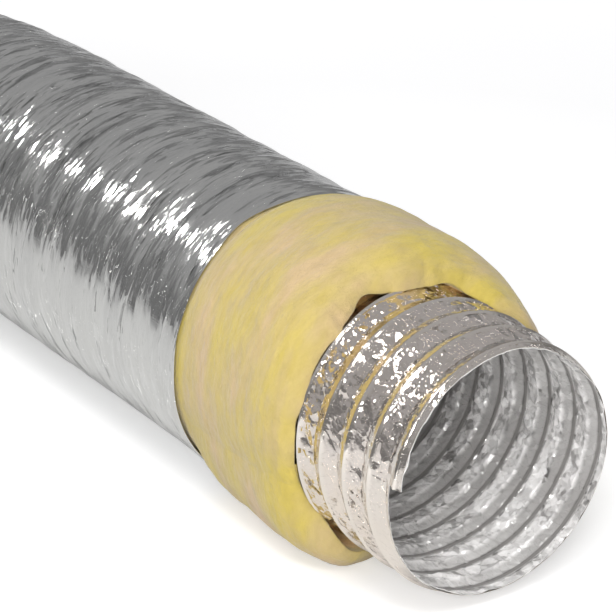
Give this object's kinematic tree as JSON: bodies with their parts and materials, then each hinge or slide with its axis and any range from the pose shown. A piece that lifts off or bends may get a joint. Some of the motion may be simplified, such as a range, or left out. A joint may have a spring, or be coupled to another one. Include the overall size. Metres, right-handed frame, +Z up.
{
  "type": "flexible air duct",
  "caption": "Flexible insulated air duct: ribbed foil core on a wire helix, glass wool blanket and loose foil jacket, cut to length, layers pushed back at the open mouth.",
  "frame": {"origin": "on the core's axis at the mouth, in the plane of the lip's lowest part", "axes": "+X along the core's axis and out of the mouth, +Z up, the duct lying on its belly"},
  "size_m": [1.0568, 0.3015, 0.2506],
  "materials": {
    "inner_ply": "crinkled aluminium foil laminate",
    "outer_ply": "crinkled bright aluminium foil laminate",
    "wire": "drawn spring steel wire",
    "blanket": "matt yellow glass wool",
    "jacket": "wrinkled metallised film"
  },
  "bodies": {
    "front_run": {"inner_ply_front": "inner_ply", "wire_front": "wire", "outer_ply_front": "outer_ply", "inner_ply_stretch": "inner_ply", "wire_stretch": "wire", "outer_ply_stretch": "outer_ply", "blanket_front": "blanket", "blanket_gather": "blanket", "jacket_front": "jacket", "jacket_gather": "jacket"},
    "core_mouth": {"inner_ply_mouth": "inner_ply", "wire_mouth": "wire", "outer_ply_mouth": "outer_ply"},
    "blanket_sleeve": {"blanket_end": "blanket"},
    "jacket_sleeve": {"jacket_cuff": "jacket"},
    "lift_run": {"inner_ply_lift": "inner_ply", "wire_lift": "wire", "outer_ply_lift": "outer_ply", "blanket_lift": "blanket", "jacket_lift": "jacket"},
    "rear_run": {"inner_ply_side": "inner_ply", "wire_side": "wire", "outer_ply_side": "outer_ply", "blanket_side": "blanket", "jacket_side": "jacket", "inner_ply_rear": "inner_ply", "wire_rear": "wire", "outer_ply_rear": "outer_ply", "blanket_rear": "blanket", "jacket_rear": "jacket"}
  },
  "joints": [
    {"name": "core_stretch", "type": "slide", "parent": "front_run", "child": "core_mouth", "axis": [1, 0, 0], "range_m": [-0.06, 0.015], "deforming": ["inner_ply_stretch", "wire_stretch", "outer_ply_stretch"]},
    {"name": "blanket_slide", "type": "slide", "parent": "front_run", "child": "blanket_sleeve", "axis": [1, 0, 0], "range_m": [-0.06, 0.105], "deforming": ["blanket_gather"]},
    {"name": "jacket_slide", "type": "slide", "parent": "front_run", "child": "jacket_sleeve", "axis": [1, 0, 0], "range_m": [-0.12, 0.24], "deforming": ["jacket_gather"]},
    {"name": "duct_lift", "type": "hinge", "parent": "front_run", "child": "lift_run", "pos_m": [-0.674, 0, 0], "axis": [0, 1, 0], "range_deg": [0, 30], "deforming": ["inner_ply_lift", "wire_lift", "outer_ply_lift", "blanket_lift", "jacket_lift"]},
    {"name": "duct_turn", "type": "hinge", "parent": "lift_run", "child": "rear_run", "pos_m": [-0.81395, 0, 0], "axis": [0, 0, 1], "range_deg": [-45, 30], "deforming": ["inner_ply_side", "wire_side", "outer_ply_side", "blanket_side", "jacket_side"]}
  ]
}
